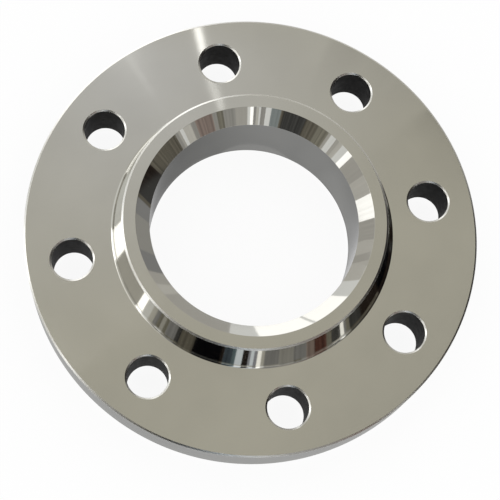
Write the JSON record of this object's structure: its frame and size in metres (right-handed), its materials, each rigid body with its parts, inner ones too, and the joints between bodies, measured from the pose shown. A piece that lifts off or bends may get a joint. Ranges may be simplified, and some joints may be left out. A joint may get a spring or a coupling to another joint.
{
  "type": "pipe flange",
  "caption": "Slip-on pipe flange turned from stainless steel: a drilled round plate with a short flared hub, a bevelled bore mouth and a raised gasket face.",
  "frame": {"origin": "centre of the raised gasket face, on the bore axis, where the flange lies on its face", "axes": "+Z along the bore axis towards the hub, X and Y each pass midway between two bolt holes"},
  "size_m": [0.2, 0.2, 0.0405],
  "materials": {
    "stainless": "fine turned, bright"
  },
  "bodies": {
    "root": {"flange": "stainless"}
  },
  "joints": []
}
